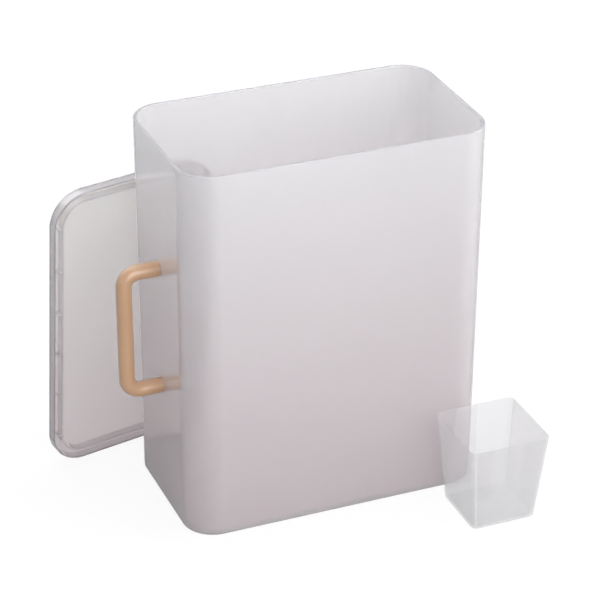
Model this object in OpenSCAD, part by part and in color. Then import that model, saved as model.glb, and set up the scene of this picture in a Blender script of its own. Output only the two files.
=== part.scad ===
/* [Bin] */
// Outside length of the bin at the rim, along the handle direction
bin_l = 276; // [230:1:340]
// Outside width of the bin at the rim
bin_w = 157; // [130:1:220]
// Height of the bin
bin_h = 345; // [290:1:420]
// Outside corner radius at the rim
bin_r = 29.5; // [18:0.5:40]
// Thickness of the walls
wall_t = 3; // [2:0.1:3.6]
// Thickness of the floor
floor_t = 2.9; // [2.4:0.1:4]
// Length by which each wall leans in from the rim down to the base
draft_len = 1.4; // [0.2:0.1:2]
// Width of the ring that the bin stands on
foot_w = 12; // [6:0.5:14]
// Depth of the shallow recesses inside that ring
foot_recess = 1; // [0.5:0.1:1.4]
// Width of the two ribs that cross under the floor
under_rib_w = 8; // [4:0.5:16]
// Chamfer round the bottom edge of the bin
base_chamfer = 1; // [0.4:0.1:2]

/* [Handle] */
// Height of the middle of the handle above the base
handle_z = 172; // [140:1:220]
// Distance between the centres of the two legs
handle_span = 114; // [96:1:140]
// Distance from the wall to the centre of the grip
handle_reach = 31; // [28:0.5:50]
// Diameter of the round bar of the handle
handle_d = 14; // [12:0.5:18]
// Radius of the bends, at the centre of the bar
handle_bend_r = 12.5; // [10:0.5:20]

/* [Handle screws] */
// Core diameter of the tapping screw, and the pilot hole in the leg
screw_core_d = 2.8; // [2.4:0.1:3.1]
// Outside diameter of the screw thread
screw_thread_d = 3.5; // [3.3:0.1:4.2]
// Distance between two turns of the thread
screw_pitch = 1.3; // [1.1:0.1:2]
// Length of the screw under its head
screw_len = 16; // [12:1:20]
// Length of the screw's point
screw_point_len = 1.6; // [1:0.1:2.5]
// Height of the straight edge round the screw head
screw_head_edge_h = 0.4; // [0.2:0.1:0.8]
// Depth of the cross recess in the screw head
screw_recess_depth = 1.4; // [1:0.1:1.8]
// How far the pilot hole runs past the screw's point
pilot_spare_len = 2; // [1:0.5:6]
// Diameter of the domed screw head
screw_head_d = 7.5; // [7:0.5:10]
// Height of the screw head
screw_head_h = 2.3; // [2.2:0.1:3]
// Clearance round the screw where it passes through the wall
screw_hole_gap = 0.15; // [0.1:0.05:0.5]
// Outside diameter of the washer
washer_d = 11; // [10:0.5:16]
// Thickness of the washer
washer_t = 1; // [0.8:0.1:1.6]

/* [Lid] */
// Total height of the lid, from the skirt's edge to the top face
lid_h = 9.5; // [8:0.5:16]
// Thickness of the lid's panel
lid_panel_t = 2; // [1.5:0.1:3]
// Thickness of the lid's skirt
skirt_t = 1.5; // [1.1:0.1:2.4]
// Clearance between the skirt and the outside of the bin
skirt_gap = 0.4; // [0.3:0.1:1]
// Thickness of the plug ring that enters the bin
plug_t = 1.8; // [1:0.1:2.4]
// Clearance between the plug ring and the inside of the rim
plug_gap = 3.2; // [1:0.1:3.6]
// How far the plug ring stops short of the skirt's edge
plug_short = 0.4; // [0:0.1:2]
// Chamfer round the top edge of the lid
lid_chamfer = 1; // [0.3:0.1:1.4]
// Number of ribs across the channel on each long side
rib_n = 6; // [2:1:10]
// Thickness of a rib
rib_t = 1.2; // [0.8:0.1:2]
// Height of the ledge that a rib gives the rim to rest on
rib_ledge_h = 1.2; // [0.5:0.1:2]
// Clearance between the rib's fin and the inside of the rim
fin_gap = 0.4; // [0.2:0.1:0.6]
// How far the fin stops short of the plug ring's edge
fin_short = 1; // [0.5:0.1:2]

/* [Lid standing behind the bin] */
// Turn of the lid seen from above, in degrees
lid_turn = 12; // [0:0.1:20]
// Lean of the lid towards the bin, in degrees
lid_lean = 5.1; // [2:0.1:12]
// How far the lid's middle lies outside the centre of the bin's rear corner
lid_out = 15.4; // [0:0.1:24]
// Gap between the lid's edge and the bin's corner
lean_gap = 0.5; // [0.5:0.1:2]

/* [Measuring cup] */
// Outside width of the square cup at its brim
cup_top = 76; // [64:1:90]
// Outside width of the cup at its base
cup_base = 60.5; // [50:0.5:62]
// Height of the cup
cup_h = 83; // [60:1:110]
// Outside corner radius at the brim
cup_top_r = 6.4; // [4:0.1:10]
// Outside corner radius at the base
cup_base_r = 4.2; // [3:0.1:8]
// Thickness of the cup's walls and floor
cup_t = 1.4; // [1:0.1:2]
// Gap between the bin's front and the cup's brim
cup_gap = 5; // [2:0.5:40]
// How far the cup's middle lies inside the bin's end wall
cup_inset = 13; // [0:1:60]

/* [Hidden] */
$fn = 96;
eps = 0.01;

draft_angle = atan(draft_len / (bin_h - base_chamfer));
screw_hole_d = screw_thread_d + 2 * screw_hole_gap;
screw_dome_h = screw_head_h - screw_head_edge_h;
screw_in_leg = screw_len - washer_t - wall_t;
pilot_depth = screw_in_leg + pilot_spare_len;

lid_edge = skirt_t + skirt_gap;
lid_l = bin_l + 2 * lid_edge;
lid_w = bin_w + 2 * lid_edge;
lid_r = bin_r + lid_edge;
plug_edge = lid_edge + wall_t + plug_gap;
fin_t = plug_gap - fin_gap;
rib_pitch = (lid_l - 2 * lid_r) / (rib_n - 1);

lid_top_z = lid_l * cos(lid_lean);
lid_back = bin_r - lean_at(lid_top_z) + lean_gap + lid_l / 2 * sin(lid_lean);

cup_x = bin_l / 2 - cup_inset;
cup_y = -(bin_w / 2 + cup_gap + cup_top / 2);

// How far the bin's walls lie inside the rim's outline at the height z
function lean_at(z) = draft_len * (bin_h - z) / (bin_h - base_chamfer);

// Upright section of a box whose two sides lean in towards its base
module leaning_section(width, height, lean) {
    polygon([
        [-width / 2 + lean, 0],
        [width / 2 - lean, 0],
        [width / 2, height],
        [-width / 2, height]
    ]);
}

// Rounded box: full size at its top, each wall leaning in by `lean` at its base
module rounded_box(length, width, radius, height, lean = 0) {
    rotate([90, 0, 0])
        linear_extrude(width - 2 * radius, center = true)
            leaning_section(length, height, lean);
    rotate([90, 0, 90])
        linear_extrude(length - 2 * radius, center = true)
            leaning_section(width, height, lean);
    for (x = [-1, 1], y = [-1, 1])
        translate([x * (length / 2 - radius), y * (width / 2 - radius), 0])
            cylinder(h = height, r1 = radius - lean, r2 = radius);
}

// Box that keeps the bin's outline at the rim, moved in by `inset`
module bin_box(inset, height, lean = 0) {
    rounded_box(bin_l - 2 * inset, bin_w - 2 * inset, bin_r - inset, height, lean);
}

module bin_shell() {
    difference() {
        union() {
            translate([0, 0, base_chamfer])
                bin_box(0, bin_h - base_chamfer, draft_len);
            bin_box(draft_len, base_chamfer, base_chamfer);
        }
        translate([0, 0, floor_t])
            bin_box(wall_t, bin_h - floor_t + eps, lean_at(floor_t - eps));
        under_recesses();
    }
}

// Four shallow recesses in the underside, which leave the foot ring and two crossing ribs
module under_recesses() {
    difference() {
        translate([0, 0, -eps])
            bin_box(draft_len + foot_w, foot_recess + eps);
        for (size = [[bin_l, under_rib_w], [under_rib_w, bin_w]])
            translate([-size[0] / 2, -size[1] / 2, -2 * eps])
                cube([size[0], size[1], foot_recess + 3 * eps]);
    }
}

// Places children on the handle wall: the wall's outer face is x = 0, outwards is -x
module on_handle_wall() {
    translate([lean_at(handle_z) - bin_l / 2, 0, handle_z])
        rotate([0, -draft_angle, 0])
            children();
}

// Places children on the axis of one leg: side is 1 for the upper leg, -1 for the lower
module on_leg(side) {
    on_handle_wall()
        translate([0, 0, side * handle_span / 2])
            rotate([0, -90, 0])
                children();
}

module bin_body() {
    color([0.88, 0.88, 0.89, 0.6])
        difference() {
            bin_shell();
            for (side = [-1, 1])
                on_leg(side)
                    translate([0, 0, -2 * wall_t])
                        cylinder(h = 4 * wall_t, d = screw_hole_d);
        }
}

module handle_bend(turn) {
    rotate([90, 0, 0])
        rotate([0, 0, turn])
            rotate_extrude(angle = 90)
                translate([handle_bend_r, 0])
                    circle(d = handle_d);
}

module handle_bar() {
    leg = handle_reach - handle_bend_r;
    grip = handle_span - 2 * handle_bend_r;
    for (side = [-1, 1]) {
        translate([-leg, 0, side * handle_span / 2])
            rotate([0, 90, 0])
                cylinder(h = leg, d = handle_d);
        translate([-leg, 0, side * grip / 2])
            handle_bend(side > 0 ? 90 : 180);
    }
    translate([-handle_reach, 0, -grip / 2])
        cylinder(h = grip, d = handle_d);
}

module handle() {
    color([0.84, 0.69, 0.54])
        difference() {
            on_handle_wall() handle_bar();
            for (side = [-1, 1])
                on_leg(side)
                    translate([0, 0, -eps])
                        cylinder(h = pilot_depth + eps, d = screw_core_d);
        }
}

// Half section of the screw: the head's underside is at y = 0, the point is at y = screw_len
function screw_section() = concat(
    [[0, -screw_head_h]],
    [for (a = [15 : 15 : 75])
        [screw_head_d / 2 * sin(a), -screw_head_edge_h - screw_dome_h * cos(a)]],
    [[screw_head_d / 2, -screw_head_edge_h], [screw_head_d / 2, 0], [screw_core_d / 2, 0]],
    [for (y = [washer_t + wall_t + screw_pitch / 2 : screw_pitch : screw_len - 2 * screw_pitch])
        each [
            [screw_core_d / 2, y],
            [screw_thread_d / 2, y + screw_pitch / 2],
            [screw_core_d / 2, y + screw_pitch - eps]
        ]],
    [[screw_core_d / 2, screw_len - screw_point_len], [0, screw_len]]
);

module handle_screw(side) {
    slot_w = screw_head_d * 0.13;
    slot_l = screw_head_d * 0.5;
    color([0.78, 0.79, 0.8])
        on_leg(side)
            translate([0, 0, -(wall_t + washer_t)])
                difference() {
                    rotate_extrude() polygon(screw_section());
                    for (turn = [0, 90])
                        rotate([0, 0, turn])
                            translate([-slot_l / 2, -slot_w / 2, -screw_head_h - eps])
                                cube([slot_l, slot_w, screw_recess_depth + eps]);
                }
}

module handle_washer(side) {
    color([0.93, 0.93, 0.9])
        on_leg(side)
            translate([0, 0, -(wall_t + washer_t)])
                difference() {
                    cylinder(h = washer_t, d = washer_d);
                    translate([0, 0, -eps])
                        cylinder(h = washer_t + 2 * eps, d = screw_hole_d);
                }
}

module upper_handle_screw() handle_screw(1);
module lower_handle_screw() handle_screw(-1);
module upper_handle_washer() handle_washer(1);
module lower_handle_washer() handle_washer(-1);

// Box that keeps the lid's outline, moved in by `inset`
module lid_box(inset, height, lean = 0) {
    rounded_box(lid_l - 2 * inset, lid_w - 2 * inset, lid_r - inset, height, lean);
}

// Cross-piece in the channel: a low ledge for the rim, and a fin on the plug ring that centres it
module channel_rib() {
    channel_w = plug_edge - skirt_t;
    translate([-rib_t / 2, -eps, lid_h - lid_panel_t - rib_ledge_h])
        cube([rib_t, channel_w + 2 * eps, rib_ledge_h + eps]);
    translate([-rib_t / 2, channel_w - fin_t, plug_short + fin_short])
        cube([rib_t, fin_t + eps, lid_h - lid_panel_t - plug_short - fin_short + eps]);
}

// The lid as it lies on the bin: skirt's edge at z = 0, top face at z = lid_h
module lid_closed() {
    panel_z = lid_h - lid_panel_t;
    difference() {
        union() {
            lid_box(0, lid_h - lid_chamfer);
            translate([0, 0, lid_h - lid_chamfer])
                mirror([0, 0, 1])
                    translate([0, 0, -lid_chamfer])
                        lid_box(0, lid_chamfer, lid_chamfer);
        }
        translate([0, 0, -eps])
            lid_box(skirt_t, panel_z + eps);
    }
    difference() {
        translate([0, 0, plug_short])
            lid_box(plug_edge, panel_z - plug_short + eps);
        translate([0, 0, -eps])
            lid_box(plug_edge + plug_t, panel_z + 3 * eps);
    }
    for (side = [0, 1], i = [0 : rib_n - 1])
        rotate([0, 0, 180 * side])
            translate([rib_pitch * (i - (rib_n - 1) / 2), -lid_w / 2 + skirt_t, 0])
                channel_rib();
}

// Stands the lid on its short end behind the bin, its skirt's edge against the rear corner
module standing_behind_bin() {
    translate([-(bin_l / 2 - bin_r), bin_w / 2 - bin_r, 0])
        rotate([0, 0, lid_turn])
            translate([-lid_out, lid_back, lid_l / 2 * cos(lid_lean)])
                rotate([lid_lean, 0, 0])
                    rotate([-90, -90, 0])
                        children();
}

module lid() {
    color([0.9, 0.9, 0.92, 0.6])
        standing_behind_bin() lid_closed();
}

// Hull of rounded squares: `width` and `radius` at the top, `base` and `base_radius` at the bottom
module tapered_square(width, radius, base, base_radius, height) {
    hull() {
        for (x = [-1, 1], y = [-1, 1]) {
            translate([x * (width / 2 - radius), y * (width / 2 - radius), height - eps])
                cylinder(h = eps, r = radius, $fn = 32);
            translate([x * (base / 2 - base_radius), y * (base / 2 - base_radius), 0])
                cylinder(h = eps, r = base_radius, $fn = 32);
        }
    }
}

module measuring_cup() {
    taper = (cup_top - cup_base) / cup_h;
    color([0.93, 0.93, 0.94, 0.5])
        translate([cup_x, cup_y, 0])
            difference() {
                tapered_square(cup_top, cup_top_r, cup_base, cup_base_r, cup_h);
                translate([0, 0, cup_t])
                    tapered_square(
                        cup_top - 2 * cup_t + taper * cup_t, cup_top_r - cup_t,
                        cup_base - 2 * cup_t + taper * cup_t, cup_base_r - cup_t,
                        cup_h
                    );
            }
}

bin_body();
handle();
upper_handle_screw();
lower_handle_screw();
upper_handle_washer();
lower_handle_washer();
lid();
measuring_cup();
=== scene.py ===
"""Rice bin with a bar handle, a lift-off lid and a square measuring cup."""

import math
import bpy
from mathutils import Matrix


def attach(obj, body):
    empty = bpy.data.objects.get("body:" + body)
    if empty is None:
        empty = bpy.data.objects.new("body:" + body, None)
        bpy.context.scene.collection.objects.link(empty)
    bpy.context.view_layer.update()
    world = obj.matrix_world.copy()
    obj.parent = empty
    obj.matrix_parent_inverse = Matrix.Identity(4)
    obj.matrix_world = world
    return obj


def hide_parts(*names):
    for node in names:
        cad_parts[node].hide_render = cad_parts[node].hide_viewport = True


bl_info = {
    "name": "Rice Bin",
    "version": (1, 0, 0),
    "blender": (4, 5, 0),
    "location": "3D View > Sidebar > Rice Bin",
    "description": "Models a rice bin with its handle, lid and measuring cup, and lights them",
    "category": "Add Mesh",
}

import bpy
from bpy.props import FloatProperty, FloatVectorProperty, IntProperty, PointerProperty
from bpy.types import Operator, Panel, PropertyGroup
from mathutils import Matrix, Vector

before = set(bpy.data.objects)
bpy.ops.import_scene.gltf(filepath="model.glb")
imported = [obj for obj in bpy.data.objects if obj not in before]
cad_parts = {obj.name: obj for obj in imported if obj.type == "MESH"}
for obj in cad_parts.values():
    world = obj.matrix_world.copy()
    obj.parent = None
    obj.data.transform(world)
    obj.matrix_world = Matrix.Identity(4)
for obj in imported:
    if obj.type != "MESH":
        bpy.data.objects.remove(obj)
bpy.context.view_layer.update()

MM = 0.001

# Points closer together than this are one point.
SAME = MM / 1000


# ---------------------------------------------------------------- sizes and colours


def length(name, description, mm):
    """A length in millimetres as a property in metres."""
    return FloatProperty(
        name=name, description=description, default=mm * MM, min=0, unit="LENGTH", precision=4
    )


def offset(name, description, metres):
    """A distance that may be negative."""
    return FloatProperty(
        name=name, description=description, default=metres, unit="LENGTH", precision=4
    )


def angle(name, description, radians):
    return FloatProperty(name=name, description=description, default=radians, subtype="ANGLE")


def colour(name, description, rgb):
    return FloatVectorProperty(
        name=name, description=description, default=rgb, size=3, min=0, max=1, subtype="COLOR"
    )


class BinSizes(PropertyGroup):
    """Sizes of the bin's one-piece body."""

    long_side: length("Length", "Outside length at the rim", 276)
    short_side: length("Width", "Outside width at the rim", 157)
    height: length("Height", "Height of the bin", 345)
    corner: length("Corner radius", "Outside corner radius at the rim", 29.5)
    wall: length("Wall", "Thickness of the walls", 3)
    floor: length("Floor", "Thickness of the floor", 2.9)
    draft: length("Draft", "How far each wall leans in from rim to base", 1.4)
    foot: length("Foot ring", "Width of the ring that the bin stands on", 12)
    foot_edge: length("Foot edge", "Rounding of the foot's outside edge", 1)
    recess: length("Recess", "Depth of the recesses under the floor", 1)
    under_rib: length("Under rib", "Width of the ribs that cross under the floor", 8)
    screw_hole: length("Screw hole", "Diameter of the two holes behind the handle", 3.8)


class HandleSizes(PropertyGroup):
    """Sizes and place of the bar handle."""

    middle: length("Middle", "Height of the handle's middle above the base", 172)
    span: length("Span", "Distance between the two legs' centres", 114)
    reach: length("Reach", "Distance from the wall to the grip's centre", 31)
    bar: length("Bar", "Diameter of the round bar", 14)
    bend: length("Bend", "Radius of the bends at the bar's centre", 12.5)
    pilot: length("Pilot hole", "Diameter of the hole that the screw bites into", 2.8)
    pilot_depth: length("Pilot depth", "Depth of that hole", 14)


class LidSizes(PropertyGroup):
    """Sizes of the lid, and how it stands behind the bin."""

    depth: length("Depth", "Height from the skirt's edge to the top face", 9.5)
    panel: length("Panel", "Thickness of the panel", 2)
    skirt: length("Skirt", "Thickness of the skirt", 1.5)
    skirt_gap: length("Skirt gap", "Clearance between the skirt and the bin", 0.4)
    plug: length("Plug ring", "Thickness of the plug ring", 1.8)
    plug_gap: length("Plug gap", "Clearance between the plug ring and the rim", 3.2)
    plug_short: length("Plug short", "How far the plug ring stops short of the skirt's edge", 0.4)
    rib: length("Rib", "Thickness of the cross ribs", 1.2)
    rib_ledge: length("Rib ledge", "Height of the ledge that rests on the bin's rim", 1.2)
    fin_gap: length("Fin gap", "Clearance between a rib's fin and the rim", 0.4)
    fin_short: length("Fin short", "How far a fin stops short of the plug ring's edge", 1)
    ribs: IntProperty(name="Ribs", description="Ribs along each long side", default=6, min=2)
    turn: angle("Turn", "Turn seen from above", math.radians(12))
    lean: angle("Lean", "Lean towards the bin", math.radians(5.1))
    out: length("Out", "How far its middle lies outside the rear corner's centre", 15.4)
    lean_gap: length("Lean gap", "Gap between the lid's edge and the bin", 0.5)


class CupSizes(PropertyGroup):
    """Sizes and place of the measuring cup."""

    top: length("Top", "Outside width at the brim", 76)
    base: length("Base", "Outside width at the base", 60.5)
    height: length("Height", "Height of the cup", 83)
    corner: length("Corner radius", "Outside corner radius at the brim", 6.4)
    wall: length("Wall", "Thickness of the walls and floor", 1.4)
    gap: length("Gap", "Distance from the bin's front to the brim", 5)
    inset: length("Inset", "How far its middle lies inside the bin's end wall", 13)


class Finishes(PropertyGroup):
    """Colours of the pieces and of the stage."""

    bin: colour("Bin", "Translucent plastic of the bin at its rim", (0.94, 0.925, 0.945))
    # Painted shade: the bin's and the lid's plastic blend down to these darker foot colours, which stand
    # for less light lower down.
    bin_shaded: colour("Bin foot", "The same plastic at the bin's foot", (0.82, 0.755, 0.77))
    lid: colour("Lid", "Translucent plastic of the lid at its upper end", (0.95, 0.93, 0.92))
    lid_shaded: colour("Lid foot", "The same plastic at the lid's lower end", (0.79, 0.725, 0.735))
    cup: colour("Cup", "Hazy clear plastic of the cup", (0.81, 0.795, 0.82))
    handle: colour("Handle", "Tan plastic of the handle", (0.57, 0.34, 0.19))
    steel: colour("Steel", "Screws", (0.62, 0.62, 0.63))
    nylon: colour("Nylon", "Washers", (0.80, 0.79, 0.74))
    floor: colour("Floor", "Floor as it lights the pieces", (0.45, 0.45, 0.45))
    paper: colour("Paper", "Floor as the camera sees it", (0.95, 0.95, 0.95))
    room: colour("Room", "Light of the room", (0.93, 0.94, 1.0))


class StageSettings(PropertyGroup):
    """Camera and room light."""

    azimuth: angle("Azimuth", "Turn of the camera round the bin", -0.391099)
    elevation: angle("Elevation", "Angle of the view above the floor", 0.498763)
    roll: angle("Roll", "Roll of the camera", 0.005831)
    distance: offset("Distance", "Distance of the camera along the view", 2.25696)
    right: offset("Right", "Shift of the camera to the right", -0.006561)
    up: offset("Up", "Shift of the camera upwards", 0.150866)
    lens: FloatProperty(name="Lens", description="Focal length in mm on a 36 mm sensor", default=149.441)
    ambient: FloatProperty(name="Ambient", description="Strength of the room light", default=0.38, min=0)


# ---------------------------------------------------------------- shader maths


class Value:
    """A socket of a material, with arithmetic that adds the Math nodes it needs."""

    def __init__(self, finish, socket):
        self.finish = finish
        self.socket = socket

    def math(self, operation, first, second):
        """A Math node on values or numbers."""
        return self.finish.add("Math", {"operation": operation}, {0: first, 1: second})

    def __add__(self, other):
        return self.math("ADD", self, other)

    def __radd__(self, other):
        return self.math("ADD", other, self)

    def __sub__(self, other):
        return self.math("SUBTRACT", self, other)

    def __rsub__(self, other):
        return self.math("SUBTRACT", other, self)

    def __mul__(self, other):
        return self.math("MULTIPLY", self, other)

    def __rmul__(self, other):
        return self.math("MULTIPLY", other, self)

    def clamped(self):
        return self.finish.add("Clamp", {}, {"Value": self})


class Finish:
    """One material or world, made node by node."""

    def __init__(self, holder):
        holder.use_nodes = True
        self.holder = holder
        self.tree = holder.node_tree
        self.tree.nodes.clear()

    def add(self, kind, settings, inputs, output=0):
        """Adds a node, makes its settings first, then fills its sockets with values or links."""
        node = self.tree.nodes.new("ShaderNode" + kind)
        for key, setting in settings.items():
            setattr(node, key, setting)
        for key, given in inputs.items():
            if isinstance(given, Value):
                self.tree.links.new(given.socket, node.inputs[key])
            else:
                node.inputs[key].default_value = given
        return Value(self, node.outputs[output])

    def place(self):
        """Place in the scene, because every piece has its place in its mesh."""
        return self.add("TexCoord", {}, {}, "Object")

    def height(self, place=None):
        """Height in metres above the floor, or above the base of a piece's own frame."""
        return self.add("SeparateXYZ", {}, {"Vector": place or self.place()}, "Z")

    def own_place(self, matrix):
        """Place in the frame of a piece that `matrix` has put where it stands."""
        back = matrix.inverted()
        sockets = {"Vector": self.place(), "Location": back.translation, "Rotation": back.to_euler()}
        return self.add("Mapping", {}, sockets)

    def vector(self, operation, first, second=(0, 0, 0)):
        """A Vector Math node, which gives a vector, or a number for LENGTH."""
        output = "Value" if operation == "LENGTH" else "Vector"
        return self.add("VectorMath", {"operation": operation}, {0: first, 1: second}, output)

    def noise(self, scale, detail):
        """Noise from 0 to 1, with about `scale` patches to the metre."""
        return self.add("TexNoise", {}, {"Vector": self.place(), "Scale": scale, "Detail": detail})

    def blend(self, factor, first, second, kind="MIX"):
        """Mixes two colours. The numbers are those of the Mix node's colour sockets."""
        settings = {"data_type": "RGBA", "blend_type": kind}
        return self.add("Mix", settings, {0: factor, 6: first, 7: second}, 2)

    def cover(self, factor, under, over):
        """Mixes one whole shader over another."""
        return self.add("MixShader", {}, {0: factor, 1: under, 2: over})

    def bump(self, height, strength, distance):
        """Normals of a fine relief, whose `distance` is in metres."""
        return self.add("Bump", {}, {"Height": height, "Strength": strength, "Distance": distance})

    def shader(self, inputs):
        """The Principled shader with these sockets, as the material's surface."""
        self.surface(self.add("BsdfPrincipled", {}, inputs))

    def surface(self, shader):
        """Ends the material or world in this shader."""
        kind = "World" if isinstance(self.holder, bpy.types.World) else "Material"
        node = self.tree.nodes.new("ShaderNodeOutput" + kind)
        self.tree.links.new(shader.socket, node.inputs["Surface"])


# ---------------------------------------------------------------- finishes

WHITE = (1.0, 1.0, 1.0, 1.0)

# Painted shade: a lavender darkening multiplied into the colour of a frosted wall at its rims and free
# edges, standing for the darker look of those edges.
PAINTED_EDGE_SHADE = (0.66, 0.65, 0.71, 1.0)


def shade(rgb, factor=1.0):
    """A colour with full alpha, made lighter or darker by the factor."""
    return tuple(min(1.0, c * factor) for c in rgb) + (1.0,)


def past(value, start, width):
    """0 up to `start`, rising to 1 over `width`."""
    return ((value - start) * (1 / width)).clamped()


def frosted_plastic(name, rgb, shaded_rgb, height, transmission, edge_shade_mask):
    """Milky polypropylene: a polished skin over a body that scatters light, with soft clouds in its
    colour and a fine grain. Its colour is darkened towards the foot as painted shade, and a lavender
    painted shade darkens it where the mask function gives more than 0."""
    finish = Finish(bpy.data.materials.new(name))
    clouds = finish.noise(14, 3)
    grain = finish.noise(900, 2)
    # Painted shade: the colour darkens from the top colour down to the shaded foot colour, with random
    # clouds in its tone.
    height_shade_and_clouds = (finish.height() * (1 / height) + 0.12 * (clouds - 0.5)).clamped()
    body = finish.blend(height_shade_and_clouds, shade(shaded_rgb), shade(rgb))
    finish.shader({
        # Painted shade: the edge mask multiplies the lavender darkening into the colour.
        "Base Color": finish.blend(edge_shade_mask(finish), body, PAINTED_EDGE_SHADE, "MULTIPLY"),
        "Roughness": 0.18 + 0.10 * (grain - 0.5) + 0.04 * (clouds - 0.5),
        "IOR": 1.49,
        "Transmission Weight": transmission,
        "Subsurface Weight": 0.8,
        "Subsurface Radius": (1.0, 0.95, 0.9),
        "Subsurface Scale": 0.006,
        "Coat Weight": 1.0,
        "Coat Roughness": 0.04,
        "Normal": finish.bump(grain, 0.05, 0.0002),
    })
    return finish.holder


def handle_plastic(rgb):
    """Satin tan plastic with faint clouds and a fine moulded grain."""
    finish = Finish(bpy.data.materials.new("handle_plastic"))
    clouds = finish.noise(35, 3)
    grain = finish.noise(1400, 2)
    finish.shader({
        "Base Color": finish.blend(clouds, shade(rgb, 0.94), shade(rgb, 1.06)),
        "Roughness": 0.36 + 0.1 * (grain - 0.5),
        "IOR": 1.5,
        "Subsurface Weight": 0.15,
        "Subsurface Radius": (1.0, 0.6, 0.35),
        "Subsurface Scale": 0.002,
        "Coat Weight": 1.0,
        "Coat Roughness": 0.09,
        "Normal": finish.bump(grain, 0.08, 0.0002),
    })
    return finish.holder


def clear_plastic(rgb):
    """Thin clear plastic with a milky haze, which lets much of the light straight through."""
    finish = Finish(bpy.data.materials.new("clear_plastic"))
    haze = finish.noise(40, 2)
    grain = finish.noise(700, 2)
    finish.shader({
        "Base Color": finish.blend(haze, shade(rgb, 0.98), shade(rgb, 1.02)),
        "Roughness": 0.05 + 0.04 * haze,
        "IOR": 1.49,
        "Alpha": 0.4,
        "Transmission Weight": 0.72,
        "Subsurface Weight": 0.5,
        "Subsurface Radius": (1.0, 0.98, 1.0),
        "Subsurface Scale": 0.003,
        "Normal": finish.bump(grain, 0.02, 0.0002),
    })
    return finish.holder


def screw_steel(rgb):
    """Plain stainless steel with fine turning marks and worn bright patches."""
    finish = Finish(bpy.data.materials.new("screw_steel"))
    marks = finish.noise(2500, 2)
    wear = finish.noise(300, 3)
    finish.shader({
        "Base Color": finish.blend(wear, shade(rgb, 0.85), shade(rgb, 1.1)),
        "Metallic": 1.0,
        "Roughness": 0.25 + 0.15 * wear,
        "Normal": finish.bump(marks, 0.15, 0.0001),
    })
    return finish.holder


def washer_nylon(rgb):
    """Natural nylon, slightly waxy."""
    finish = Finish(bpy.data.materials.new("washer_nylon"))
    clouds = finish.noise(200, 3)
    finish.shader({
        "Base Color": finish.blend(clouds, shade(rgb, 0.95), shade(rgb, 1.03)),
        "Roughness": 0.45 + 0.1 * clouds,
        "Subsurface Weight": 0.3,
        "Subsurface Radius": (1.0, 0.9, 0.7),
        "Subsurface Scale": 0.002,
        "Normal": finish.bump(clouds, 0.05, 0.0001),
    })
    return finish.holder


# ---------------------------------------------------------------- modelling helpers


def only(piece):
    """Makes this piece the active one, and the only one selected."""
    bpy.ops.object.select_all(action="DESELECT")
    piece.select_set(True)
    bpy.context.view_layer.objects.active = piece


def added(name):
    """The object just added, named."""
    piece = bpy.context.object
    piece.name = piece.data.name = name
    return piece


def edit(piece):
    """Goes into edit mode on this piece alone, with nothing selected."""
    only(piece)
    bpy.ops.object.mode_set(mode="EDIT")
    bpy.ops.mesh.select_all(action="DESELECT")


def edit_new(name):
    """Names the primitive just added and goes into edit mode on it, with all of it selected."""
    piece = added(name)
    bpy.ops.object.mode_set(mode="EDIT")
    bpy.ops.mesh.select_mode(type="VERT")
    bpy.ops.mesh.select_all(action="SELECT")
    return piece


def leave():
    """Leaves edit mode."""
    bpy.ops.object.mode_set(mode="OBJECT")


def pick(piece, mode, wanted):
    """In edit mode, selects what `wanted` accepts. It is given the place and normal of each vert or
    face, or the middle and direction of each edge."""
    bpy.ops.mesh.select_mode(type=mode)
    bpy.ops.mesh.select_all(action="DESELECT")
    leave()
    mesh = piece.data
    items = {"VERT": mesh.vertices, "EDGE": mesh.edges, "FACE": mesh.polygons}[mode]
    for item in items:
        if mode == "VERT":
            item.select = wanted(item.co, item.normal)
        elif mode == "EDGE":
            a, b = (mesh.vertices[i].co for i in item.vertices)
            item.select = wanted((a + b) / 2, (b - a).normalized())
        else:
            item.select = wanted(item.center, item.normal)
    bpy.ops.object.mode_set(mode="EDIT")


def extrude(x, y, z):
    """In edit mode, extrudes what is selected."""
    bpy.ops.mesh.extrude_region_move(TRANSFORM_OT_translate={"value": (x, y, z)})


def merge(fill=False):
    """In edit mode, merges doubles, fills open ends if asked and points the normals outwards."""
    bpy.ops.mesh.select_all(action="SELECT")
    bpy.ops.mesh.remove_doubles(threshold=SAME)
    if fill:
        bpy.ops.mesh.fill_holes(sides=0)
        bpy.ops.mesh.select_all(action="SELECT")
    bpy.ops.mesh.normals_make_consistent(inside=False)


def tidy(piece):
    """Merges doubles and points the normals outwards."""
    edit(piece)
    merge()
    leave()


def block(name, low, high):
    """A box between two corners, in object mode."""
    bpy.ops.object.select_all(action="DESELECT")
    low, high = Vector(low), Vector(high)
    bpy.ops.mesh.primitive_cube_add(size=1, location=(low + high) / 2, scale=high - low)
    bpy.ops.object.transform_apply(location=True, rotation=True, scale=True)
    return added(name)


def modify(piece, kind, **settings):
    """Adds a modifier and applies it."""
    only(piece)
    modifier = piece.modifiers.new(kind.title(), kind)
    for key, setting in settings.items():
        setattr(modifier, key, setting)
    bpy.ops.object.modifier_apply(modifier=modifier.name)


def boolean(piece, other, operation):
    """Cuts `other` from a piece, or adds it, and deletes it."""
    modify(piece, "BOOLEAN", operation=operation, object=other, solver="EXACT")
    bpy.data.objects.remove(other, do_unlink=True)


def smooth(piece):
    """Smooth shading that keeps the flats flat and the sharp edges sharp."""
    only(piece)
    bpy.ops.object.shade_smooth_by_angle(angle=math.radians(35))
    modify(piece, "WEIGHTED_NORMAL", keep_sharp=True)


def put(piece, matrix):
    """Places a piece, with its place in its mesh."""
    only(piece)
    piece.matrix_world = matrix
    bpy.ops.object.transform_apply(location=True, rotation=True, scale=True)


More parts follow.
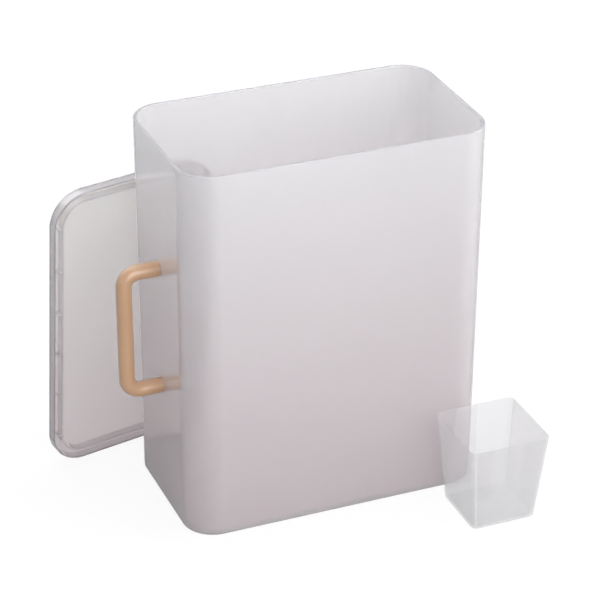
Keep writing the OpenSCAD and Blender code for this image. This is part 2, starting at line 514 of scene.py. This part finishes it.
def arc(x, z, radius, start, end, steps=4):
    """Points of an arc in the profile's plane, with angles in degrees from +x towards +z."""
    turns = [math.radians(start + (end - start) * i / steps) for i in range(steps + 1)]
    return [(x + radius * math.cos(a), z + radius * math.sin(a)) for a in turns]


def rounded_shell(name, profile, centre_x, centre_y, steps):
    """A closed rounded-rectangle moulding. The profile is drawn outwards from the corner's centre,
    carried along half a short side, round the corner and along half a long side, then mirrored."""
    bpy.ops.object.select_all(action="DESELECT")
    bpy.ops.mesh.primitive_plane_add(size=0.01)
    piece = edit_new(name)
    bpy.ops.mesh.merge(type="CENTER")
    here = Vector((0, 0, 0))
    for i, (out, z) in enumerate(profile):
        there = Vector((centre_x + out, 0, z))
        if i == 0:
            bpy.ops.transform.translate(value=there - here)
        else:
            bpy.ops.mesh.extrude_vertices_move(TRANSFORM_OT_translate={"value": there - here})
        here = there
    bpy.ops.mesh.select_mode(type="EDGE")
    bpy.ops.mesh.select_all(action="SELECT")
    extrude(0, centre_y, 0)
    bpy.ops.mesh.spin(steps=steps, angle=-math.pi / 2, center=(centre_x, centre_y, 0), axis=(0, 0, 1))
    extrude(-centre_x, 0, 0)
    leave()
    modify(piece, "MIRROR", use_axis=(True, True, False), merge_threshold=10 * SAME)
    edit(piece)
    merge(fill=True)
    leave()
    return piece


def dress(piece, material, body, slot, *nodes):
    """Gives a piece its material and body, and hides the CAD nodes that it stands for. The slot is not
    used.
    """
    piece.data.materials.clear()
    piece.data.materials.append(material)
    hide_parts(*nodes)
    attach(piece, body)


def wall_place(sizes, handle):
    """The frame of the handle wall's outer face at the handle's middle, whose -X points outwards."""
    slope = sizes.draft / (sizes.height - sizes.foot_edge)
    lean = slope * (sizes.height - handle.middle)
    turn = Matrix.Rotation(-math.atan(slope), 4, "Y")
    return Matrix.Translation((lean - sizes.long_side / 2, 0, handle.middle)) @ turn


# ---------------------------------------------------------------- pieces


class RICEBIN_OT_body(Operator):
    """Models the bin's one-piece body"""

    bl_idname = "ricebin.body"
    bl_label = "Bin Body"

    def execute(self, context):
        sizes, handle = context.scene.bin_sizes, context.scene.handle_sizes
        outer, top = sizes.corner, sizes.height
        inner, base = outer - sizes.wall, outer - sizes.draft
        foot_edge, rim_edge, fillet = sizes.foot_edge, 0.6 * MM, 2.5 * MM
        profile = [(base - sizes.foot, 0)]
        profile += arc(base - foot_edge, foot_edge, foot_edge, -90, 0)
        profile += arc(outer - rim_edge, top - rim_edge, rim_edge, 0, 90)
        profile += arc(inner + rim_edge, top - rim_edge, rim_edge, 90, 180)
        profile += arc(inner - sizes.draft - fillet, sizes.floor + fillet, fillet, 0, -90, 5)
        piece = rounded_shell(
            "bin_tub", profile, sizes.long_side / 2 - outer, sizes.short_side / 2 - outer, 20
        )
        boolean(piece, self.recesses(sizes), "DIFFERENCE")
        for side in (-1, 1):
            boolean(piece, self.drill(sizes, handle, side), "DIFFERENCE")
        tidy(piece)
        smooth(piece)
        dress(piece, self.plastic(context), "bin", "bin_plastic", "bin_body")
        return {"FINISHED"}

    def recesses(self, sizes):
        """The shallow recesses between the foot ring and the crossing ribs, as one cutter."""
        margin, below = sizes.draft + sizes.foot, -MM
        near = Vector((sizes.under_rib / 2, sizes.under_rib / 2, below))
        far = Vector((sizes.long_side / 2 - margin, sizes.short_side / 2 - margin, sizes.recess))
        cutter = block("recesses", near, far)
        edit(cutter)
        pick(cutter, "EDGE", lambda middle, along: abs(along.z) > 0.9 and (middle - far).xy.length < MM)
        bpy.ops.mesh.bevel(offset=sizes.corner - margin, segments=10, affect="EDGES")
        leave()
        modify(cutter, "MIRROR", use_axis=(True, True, False), use_mirror_merge=False)
        return cutter

    def drill(self, sizes, handle, side):
        """A drill through the end wall behind the handle's lower (-1) or upper (1) leg."""
        bpy.ops.object.select_all(action="DESELECT")
        bpy.ops.mesh.primitive_cylinder_add(
            vertices=32, radius=sizes.screw_hole / 2, depth=4 * sizes.wall
        )
        drill = added("drill")
        leg = Matrix.Translation((0, 0, side * handle.span / 2))
        put(drill, wall_place(sizes, handle) @ leg @ Matrix.Rotation(math.pi / 2, 4, "Y"))
        return drill

    def plastic(self, context):
        """Frosted plastic, with painted shade darkening the top of the rim."""
        colours, height = context.scene.finishes, context.scene.bin_sizes.height
        rim_shade, depth, blur = 0.6, 0.9 * MM, 0.5 * MM

        # Painted shade: the top face of the rim is darkened by the lavender edge shade.
        def rim(finish):
            return rim_shade * past(finish.height(), height - depth, blur)

        return frosted_plastic("bin_plastic", colours.bin, colours.bin_shaded, height, 0.7, rim)


class RICEBIN_OT_handle(Operator):
    """Models the bar handle with its two bends"""

    bl_idname = "ricebin.handle"
    bl_label = "Handle"

    def execute(self, context):
        sizes, handle = context.scene.bin_sizes, context.scene.handle_sizes
        radius, leg, top = handle.bar / 2, handle.reach - handle.bend, handle.span / 2
        bpy.ops.object.select_all(action="DESELECT")
        bpy.ops.mesh.primitive_circle_add(
            vertices=48, radius=radius, location=(0, 0, top), rotation=(0, math.pi / 2, 0)
        )
        bpy.ops.object.transform_apply(location=True, rotation=True, scale=True)
        piece = edit_new("handle_bar")
        bend = {"steps": 14, "angle": math.pi / 2, "axis": (0, 1, 0)}
        extrude(-leg, 0, 0)
        bpy.ops.mesh.spin(center=(-leg, 0, top - handle.bend), **bend)
        extrude(0, 0, 2 * (handle.bend - top))
        bpy.ops.mesh.spin(center=(-leg, 0, handle.bend - top), **bend)
        extrude(leg, 0, 0)
        merge(fill=True)
        pick(piece, "FACE", lambda middle, normal: normal.x > 0.99 and abs(middle.x) < 10 * SAME)
        bpy.ops.mesh.inset(thickness=radius - handle.pilot / 2, use_individual=True)
        for side in (-1, 1):
            end = Vector((0, 0, side * top))
            pick(piece, "FACE", lambda middle, normal: normal.x > 0.99 and (middle - end).length < MM)
            extrude(-handle.pilot_depth, 0, 0)
        leave()
        tidy(piece)
        put(piece, wall_place(sizes, handle))
        smooth(piece)
        plastic = handle_plastic(context.scene.finishes.handle)
        dress(piece, plastic, "bin", "handle_plastic", "handle")
        return {"FINISHED"}


class RICEBIN_OT_fixings(Operator):
    """Finishes the handle's screws and washers, which keep their modelled shape"""

    bl_idname = "ricebin.fixings"
    bl_label = "Handle Screws"

    def execute(self, context):
        colours = context.scene.finishes
        finishes = {"screw": screw_steel(colours.steel), "washer": washer_nylon(colours.nylon)}
        for name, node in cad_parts.items():
            for kind, finish in finishes.items():
                if kind in name:
                    for slot in node.material_slots:
                        slot.material = finish
        return {"FINISHED"}


class RICEBIN_OT_lid(Operator):
    """Models the lid with its skirt, plug ring and cross ribs, standing behind the bin"""

    bl_idname = "ricebin.lid"
    bl_label = "Lid"

    def execute(self, context):
        sizes, lid = context.scene.bin_sizes, context.scene.lid_sizes
        channel = sizes.corner + lid.skirt_gap
        outer = channel + lid.skirt
        plug_out = sizes.corner - sizes.wall - lid.plug_gap
        plug_in, plug_foot = plug_out - lid.plug, lid.plug_short
        top, under = lid.depth, lid.depth - lid.panel
        border, shoulder, lip, fillet = 3.0 * MM, 1.0 * MM, 0.4 * MM, 0.5 * MM
        centre = Vector((sizes.long_side / 2 - sizes.corner, sizes.short_side / 2 - sizes.corner, 0))
        profile = [(outer - shoulder - border, top)]
        profile += arc(outer - shoulder, top - shoulder, shoulder, 90, 0)
        profile += arc(outer - lip, lip, lip, 0, -90, 3)
        profile += arc(channel + lip, lip, lip, -90, -180, 3)
        profile += arc(channel - fillet, under - fillet, fillet, 0, 90, 3)
        profile += arc(plug_out + fillet, under - fillet, fillet, 90, 180, 3)
        profile += arc(plug_out - lip, plug_foot + lip, lip, 0, -90, 3)
        profile += arc(plug_in + lip, plug_foot + lip, lip, -90, -180, 3)
        profile += arc(plug_in - fillet, under - fillet, fillet, 0, 90, 3)
        piece = rounded_shell("lid_moulding", profile, centre.x, centre.y, 20)
        ribs = self.ribs(lid, centre.x, centre.y + plug_out, centre.y + channel)
        boolean(piece, ribs, "UNION")
        tidy(piece)
        standing = self.standing(sizes, lid, centre, centre.x + outer)
        put(piece, standing)
        smooth(piece)
        plastic = self.plastic(context, standing, centre, outer)
        dress(piece, plastic, "lid", "lid_plastic", "lid")
        return {"FINISHED"}

    def ribs(self, lid, reach, near, far):
        """Ribs across the channel along both long sides, each a ledge that spans the channel with a
        fin beside the plug ring. One is modelled and copied. All end a little inside the lid."""
        buried = 0.3 * MM
        fin = near + lid.plug_gap - lid.fin_gap
        under = lid.depth - lid.panel
        ledge = under - lid.rib_ledge
        low = (-reach - lid.rib / 2, near - buried, lid.plug_short + lid.fin_short)
        piece = block("ribs", low, (-reach + lid.rib / 2, fin, ledge))
        edit(piece)
        pick(piece, "FACE", lambda middle, normal: normal.z > 0.9)
        extrude(0, 0, under + buried - ledge)
        pick(piece, "FACE", lambda middle, normal: normal.y > 0.9 and middle.z > ledge)
        extrude(0, far + buried - fin, 0)
        leave()
        pitch = (2 * reach / (lid.ribs - 1), 0, 0)
        constant = {"use_relative_offset": False, "use_constant_offset": True}
        modify(piece, "ARRAY", count=lid.ribs, constant_offset_displace=pitch, **constant)
        modify(piece, "MIRROR", use_axis=(False, True, False), use_mirror_merge=False)
        return piece

    def standing(self, sizes, lid, centre, half):
        """Stands the lid on a short side, leans it on the bin's back wall and turns it about the
        centre of the bin's rear corner. `half` is half its length."""
        rise = half * math.cos(lid.lean)
        wall_lean = sizes.draft * (1 - 2 * rise / sizes.height)
        back = sizes.corner - wall_lean + lid.lean_gap + half * math.sin(lid.lean)
        return (
            Matrix.Translation((-centre.x, centre.y, 0))
            @ Matrix.Rotation(lid.turn, 4, "Z")
            @ Matrix.Translation((-lid.out, back, rise))
            @ Matrix.Rotation(lid.lean, 4, "X")
            @ Matrix.Rotation(-math.pi / 2, 4, "Y")
            @ Matrix.Rotation(-math.pi / 2, 4, "X")
        )

    def plastic(self, context, standing, centre, outer):
        """Frosted plastic, with painted shade on the skirt's outside and on the free edges of the skirt
        and the plug ring."""
        colours, sizes = context.scene.finishes, context.scene.bin_sizes
        edge_height, skirt_depth, outside_depth, blur = 0.8 * MM, 2.5 * MM, 0.8 * MM, 0.5 * MM

        # Painted shade: a mask that darkens the free edges of the skirt and plug ring, more on the
        # skirt, and the skirt's outer face.
        def walls(finish):
            place = finish.own_place(standing)
            corner = finish.vector("SUBTRACT", finish.vector("ABSOLUTE", place), centre)
            corner = finish.vector("MULTIPLY", finish.vector("MAXIMUM", corner), (1, 1, 0))
            radius = finish.vector("LENGTH", corner)
            outside = past(radius, outer - outside_depth, outside_depth / 2)
            skirt = past(radius, outer - skirt_depth, blur)
            edges = 1 - past(finish.height(place), edge_height, blur)
            return (edges * (0.55 + 0.4 * skirt) + 0.8 * outside).clamped()

        return frosted_plastic("lid_plastic", colours.lid, colours.lid_shaded, sizes.long_side, 0.75, walls)


class RICEBIN_OT_cup(Operator):
    """Models the square tapered measuring cup"""

    bl_idname = "ricebin.cup"
    bl_label = "Measuring Cup"

    def execute(self, context):
        sizes, cup = context.scene.bin_sizes, context.scene.cup_sizes
        outer, inner, top = cup.corner, cup.corner - cup.wall, cup.height
        foot_edge, brim_edge, fillet = 1.2 * MM, 0.45 * MM, 1.5 * MM
        centre, narrow = cup.top / 2 - outer, cup.base / cup.top
        inside_base = (cup.base / 2 - cup.wall) / narrow - centre
        profile = arc(outer - foot_edge, foot_edge, foot_edge, -90, 0)
        profile += arc(outer - brim_edge, top - brim_edge, brim_edge, 0, 90, 3)
        profile += arc(inner + brim_edge, top - brim_edge, brim_edge, 90, 180, 3)
        profile += arc(inside_base - fillet, cup.wall + fillet, fillet, 0, -90)
        piece = rounded_shell("cup_moulding", profile, centre, centre, 8)
        self.taper(piece, narrow, top)
        tidy(piece)
        front = -sizes.short_side / 2 - cup.gap - cup.top / 2
        put(piece, Matrix.Translation((sizes.long_side / 2 - cup.inset, front, 0)))
        smooth(piece)
        plastic = clear_plastic(context.scene.finishes.cup)
        dress(piece, plastic, "cup", "cup_plastic", "measuring_cup")
        return {"FINISHED"}

    def taper(self, piece, narrow, top):
        """Scales each level of the mesh, from `narrow` at the base to full width at the top."""
        edit(piece)
        for z in sorted({round(vert.co.z, 6) for vert in piece.data.vertices}):
            pick(piece, "VERT", lambda place, normal: abs(place.z - z) < 2 * SAME)
            scale = narrow + (1 - narrow) * z / top
            bpy.ops.transform.resize(value=(scale, scale, 1), center_override=(0, 0, z))
        leave()


# ---------------------------------------------------------------- stage


class RICEBIN_OT_stage(Operator):
    """Adds the floor, the lamps, the room light and the camera"""

    bl_idname = "ricebin.stage"
    bl_label = "Stage"

    def execute(self, context):
        scene, settings = context.scene, context.scene.stage_settings
        scene.view_settings.view_transform = "Standard"
        self.floor(scene)
        self.room(scene, settings.ambient)
        # Places and sizes are in metres, and powers in watts.
        for name, place, size, power in (
            ("front_lamp", (0.0, -2.4, 1.2), 2.2, 44),
            ("right_lamp", (2.0, -0.9, 0.9), 2.0, 37),
            ("back_lamp", (-0.9, 2.1, 1.9), 2.2, 27),
            ("top_lamp", (0.7, 0.25, 2.4), 2.8, 40),
        ):
            self.lamp(name, place, size, power)
        self.camera(scene, settings)
        return {"FINISHED"}

    def seen(self, finish, straight, mirrored, through):
        """How far the backdrop shows its own white: to the camera, in gloss and through plastic."""
        camera, glossy, transmission = (
            finish.add("LightPath", {}, {}, f"Is {kind} Ray")
            for kind in ("Camera", "Glossy", "Transmission")
        )
        return (straight * camera + mirrored * glossy + through * transmission).clamped()

    def floor(self, scene):
        """A matt floor that lights the pieces as a grey one. To the camera it is near white, so that
        only the shadows show, and plain white from a metre or two out."""
        bpy.ops.object.select_all(action="DESELECT")
        bpy.ops.mesh.primitive_plane_add(size=16)
        floor = added("studio_floor")
        finish = Finish(bpy.data.materials.new("studio_floor"))
        matt = finish.add("BsdfDiffuse", {}, {"Color": shade(scene.finishes.floor)})
        pale = finish.add("BsdfDiffuse", {}, {"Color": shade(scene.finishes.paper)})
        white = finish.add("Emission", {}, {"Color": WHITE, "Strength": 1.0})
        paper = finish.cover(self.seen(finish, 1.0, 0.0, 0.0), matt, pale)
        far = past(finish.vector("LENGTH", finish.place()), 1.0, 0.8)
        finish.surface(finish.cover(self.seen(finish, 0.9 + 0.1 * far, 0.1, 0.5), paper, white))
        floor.data.materials.append(finish.holder)

    def room(self, scene, strength):
        """Even light from all round, which shows as white."""
        scene.world = bpy.data.worlds.new("studio_room")
        finish = Finish(scene.world)
        room = finish.add("Background", {}, {"Color": shade(scene.finishes.room), "Strength": strength})
        white = finish.add("Background", {}, {"Color": WHITE, "Strength": 1.0})
        finish.surface(finish.cover(self.seen(finish, 1.0, 1.0, 1.0), room, white))

    def lamp(self, name, place, size, power):
        """A square soft lamp, aimed at the pieces."""
        bpy.ops.object.light_add(type="AREA", location=place)
        lamp = added(name)
        lamp.data.size = size
        lamp.data.energy = power
        target = Vector((0, 0, 0.15))
        lamp.rotation_euler = (target - lamp.location).to_track_quat("-Z", "Y").to_euler()

    def camera(self, scene, settings):
        """Looks at the origin from its azimuth and elevation, rolled, then shifted right and up."""
        flat = math.cos(settings.elevation)
        back = Vector((
            math.sin(settings.azimuth) * flat,
            -math.cos(settings.azimuth) * flat,
            math.sin(settings.elevation),
        ))
        level = Vector((math.cos(settings.azimuth), math.sin(settings.azimuth), 0))
        right = level * math.cos(settings.roll) + back.cross(level) * math.sin(settings.roll)
        up = back.cross(right)
        place = back * settings.distance + right * settings.right + up * settings.up
        bpy.ops.object.camera_add(location=place)
        camera = added("view_camera")
        camera.data.sensor_width = 36
        camera.data.lens = settings.lens
        camera.rotation_euler = Matrix((right, up, back)).transposed().to_euler()
        scene.camera = camera


# ---------------------------------------------------------------- panel and running


class RICEBIN_PT_panel(Panel):
    """Lists the pieces of the rice bin"""

    bl_idname = "RICEBIN_PT_panel"
    bl_label = "Rice Bin"
    bl_space_type = "VIEW_3D"
    bl_region_type = "UI"
    bl_category = "Rice Bin"

    def draw(self, context):
        for name in GROUPS:
            box = self.layout.box()
            box.label(text=name.replace("_", " ").capitalize())
            for key in GROUPS[name].__annotations__:
                box.prop(getattr(context.scene, name), key)
        for operator in OPERATORS:
            self.layout.operator(operator.bl_idname)


GROUPS = {
    "bin_sizes": BinSizes,
    "handle_sizes": HandleSizes,
    "lid_sizes": LidSizes,
    "cup_sizes": CupSizes,
    "finishes": Finishes,
    "stage_settings": StageSettings,
}
OPERATORS = (
    RICEBIN_OT_body,
    RICEBIN_OT_handle,
    RICEBIN_OT_fixings,
    RICEBIN_OT_lid,
    RICEBIN_OT_cup,
    RICEBIN_OT_stage,
)


def register():
    for kind in (*GROUPS.values(), *OPERATORS, RICEBIN_PT_panel):
        bpy.utils.register_class(kind)
    for name, group in GROUPS.items():
        setattr(bpy.types.Scene, name, PointerProperty(type=group))


def unregister():
    for name in GROUPS:
        delattr(bpy.types.Scene, name)
    for kind in (RICEBIN_PT_panel, *reversed(OPERATORS), *reversed(list(GROUPS.values()))):
        bpy.utils.unregister_class(kind)


def main():
    register()
    for operator in OPERATORS:
        family, name = operator.bl_idname.split(".")
        getattr(getattr(bpy.ops, family), name)()


if __name__ == "__main__":
    main()
